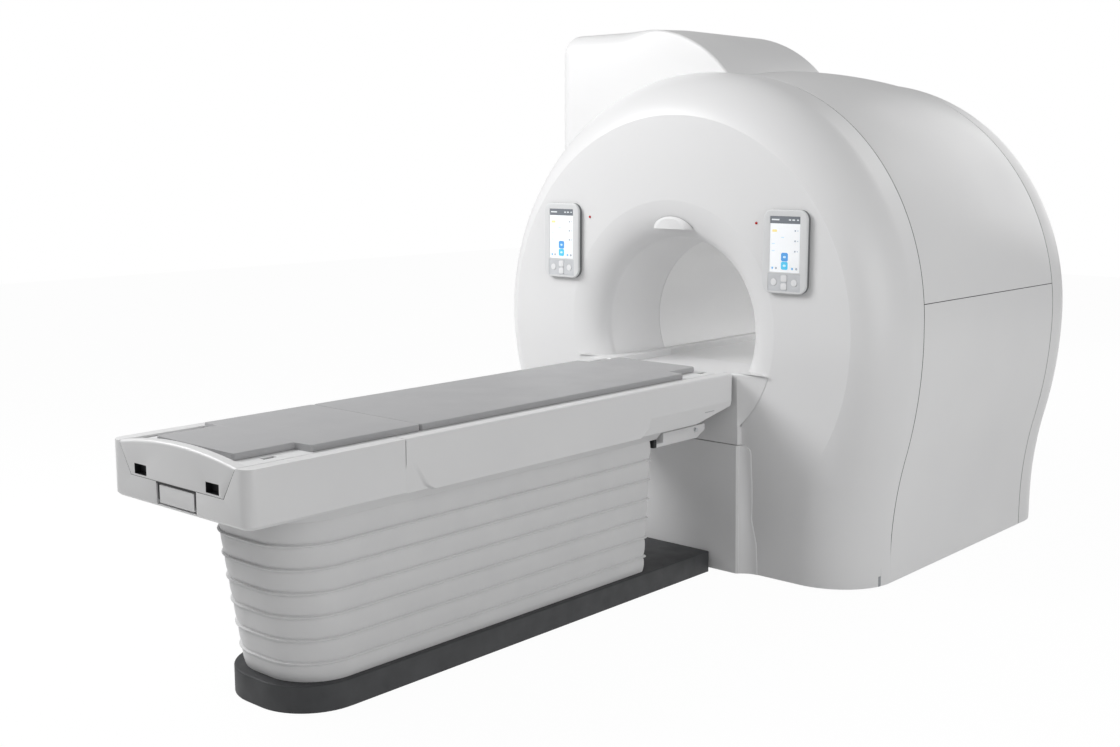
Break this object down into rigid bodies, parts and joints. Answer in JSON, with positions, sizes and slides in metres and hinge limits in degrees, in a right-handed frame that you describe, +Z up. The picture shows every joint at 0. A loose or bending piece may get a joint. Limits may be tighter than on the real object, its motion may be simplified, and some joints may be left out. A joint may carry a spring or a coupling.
{
  "type": "mri scanner",
  "caption": "Wide-bore magnetic resonance scanner: rounded white covers, offset turret, control panels and a patient table that lifts on bellows and slides into the bore.",
  "frame": {"origin": "on the floor under the middle of the bore, on the underside of the anchor plate", "axes": "+X to the right of someone who faces the bore, +Y into the bore from the patient table, +Z up"},
  "size_m": [1.92, 4.062, 2.163],
  "materials": {
    "cover_white": "satin painted moulding",
    "steel_frame": "powder coat",
    "magnet_metal": "brushed vessel",
    "coil_resin": "cast resin",
    "bore_lining": "smooth laminate",
    "cold_head_metal": "machined",
    "panel_grey": "fine texture",
    "key_grey": "smooth",
    "screen_glass": "lit display",
    "lamp_red": "lens",
    "base_dark": "dark textured coat",
    "bellows_cloth": "coated cloth",
    "column_metal": "anodised",
    "socket_black": "moulded",
    "pad_cover": "matt coated upholstery",
    "board_white": "laminate board",
    "guide_plastic": "low-friction plastic",
    "pin_steel": "ground pin"
  },
  "bodies": {
    "scanner": {"anchor_plate": "steel_frame", "base_plate": "base_dark", "bellows": "bellows_cloth", "bore_bridge": "bore_lining", "bore_liner": "bore_lining", "cold_head": "cold_head_metal", "front_cover": "cover_white", "front_cover_frame": "steel_frame", "gradient_coil": "coil_resin", "gradient_mount_rings": "coil_resin", "indicator_left": "lamp_red", "indicator_right": "lamp_red", "lift_columns_outer": "column_metal", "light_hood": "cover_white", "lower_front_panel": "cover_white", "magnet_cradles": "steel_frame", "magnet_vessel": "magnet_metal", "panel_left_housing": "panel_grey", "panel_left_keypad": "panel_grey", "panel_left_screen": "screen_glass", "panel_right_housing": "panel_grey", "panel_right_keypad": "panel_grey", "panel_right_screen": "screen_glass", "rear_cover": "cover_white", "rear_cover_frame": "steel_frame", "rf_body_coil": "coil_resin", "side_cover_left": "cover_white", "side_cover_right": "cover_white", "top_cover": "cover_white", "turret_cover": "cover_white"},
    "lift_stage": {"lift_columns_middle": "column_metal"},
    "table": {"table_frame": "steel_frame", "table_side_cover_left": "cover_white", "table_side_cover_right": "cover_white", "foot_end_cover": "cover_white", "belly_pan": "cover_white", "drive_housing": "cover_white", "drive_housing_knob": "panel_grey", "housing_latch": "socket_black", "tabletop_slide_block": "guide_plastic", "linear_actuator": "column_metal", "lift_columns_inner": "column_metal", "paddle_pin": "pin_steel", "paddle_ears": "cover_white"},
    "tabletop": {"tabletop_board": "board_white", "coil_sockets": "socket_black", "pad_foot": "pad_cover", "pad_main": "pad_cover", "end_cap": "cover_white", "drive_carriage": "guide_plastic", "tabletop_runners": "guide_plastic"},
    "paddle": {"release_paddle": "cover_white"},
    "panel_left_key_in_cap": {"panel_left_key_in": "key_grey"},
    "panel_left_key_out_cap": {"panel_left_key_out": "key_grey"},
    "panel_left_key_up_cap": {"panel_left_key_up": "key_grey"},
    "panel_left_key_down_cap": {"panel_left_key_down": "key_grey"},
    "panel_right_key_in_cap": {"panel_right_key_in": "key_grey"},
    "panel_right_key_out_cap": {"panel_right_key_out": "key_grey"},
    "panel_right_key_up_cap": {"panel_right_key_up": "key_grey"},
    "panel_right_key_down_cap": {"panel_right_key_down": "key_grey"}
  },
  "joints": [
    {"name": "table_lift", "type": "slide", "parent": "scanner", "child": "table", "axis": [0, 0, 1], "range_m": [-0.3, 0], "deforming": ["bellows"]},
    {"name": "lift_stage_slide", "type": "slide", "parent": "scanner", "child": "lift_stage", "axis": [0, 0, 1], "range_m": [-0.15, 0]},
    {"name": "tabletop_travel", "type": "slide", "parent": "table", "child": "tabletop", "axis": [0, 1, 0], "range_m": [0, 1.95]},
    {"name": "paddle_hinge", "type": "hinge", "parent": "table", "child": "paddle", "pos_m": [0, -3.163, 0.703], "axis": [-1, 0, 0], "range_deg": [0, 15], "stiffness_Nm_per_rad": 0.3, "springref_deg": -5.73},
    {"name": "panel_left_key_in_press", "type": "slide", "parent": "scanner", "child": "panel_left_key_in_cap", "axis": [0, 1, 0], "range_m": [0, 0.0015], "stiffness_N_per_m": 400, "springref_m": -0.0005},
    {"name": "panel_left_key_out_press", "type": "slide", "parent": "scanner", "child": "panel_left_key_out_cap", "axis": [0, 1, 0], "range_m": [0, 0.0015], "stiffness_N_per_m": 400, "springref_m": -0.0005},
    {"name": "panel_left_key_up_press", "type": "slide", "parent": "scanner", "child": "panel_left_key_up_cap", "axis": [0, 1, 0], "range_m": [0, 0.0015], "stiffness_N_per_m": 400, "springref_m": -0.0005},
    {"name": "panel_left_key_down_press", "type": "slide", "parent": "scanner", "child": "panel_left_key_down_cap", "axis": [0, 1, 0], "range_m": [0, 0.0015], "stiffness_N_per_m": 400, "springref_m": -0.0005},
    {"name": "panel_right_key_in_press", "type": "slide", "parent": "scanner", "child": "panel_right_key_in_cap", "axis": [0, 1, 0], "range_m": [0, 0.0015], "stiffness_N_per_m": 400, "springref_m": -0.0005},
    {"name": "panel_right_key_out_press", "type": "slide", "parent": "scanner", "child": "panel_right_key_out_cap", "axis": [0, 1, 0], "range_m": [0, 0.0015], "stiffness_N_per_m": 400, "springref_m": -0.0005},
    {"name": "panel_right_key_up_press", "type": "slide", "parent": "scanner", "child": "panel_right_key_up_cap", "axis": [0, 1, 0], "range_m": [0, 0.0015], "stiffness_N_per_m": 400, "springref_m": -0.0005},
    {"name": "panel_right_key_down_press", "type": "slide", "parent": "scanner", "child": "panel_right_key_down_cap", "axis": [0, 1, 0], "range_m": [0, 0.0015], "stiffness_N_per_m": 400, "springref_m": -0.0005}
  ],
  "couplings": [
    {"joint": "lift_stage_slide", "follows": "table_lift", "ratio": 0.5}
  ]
}
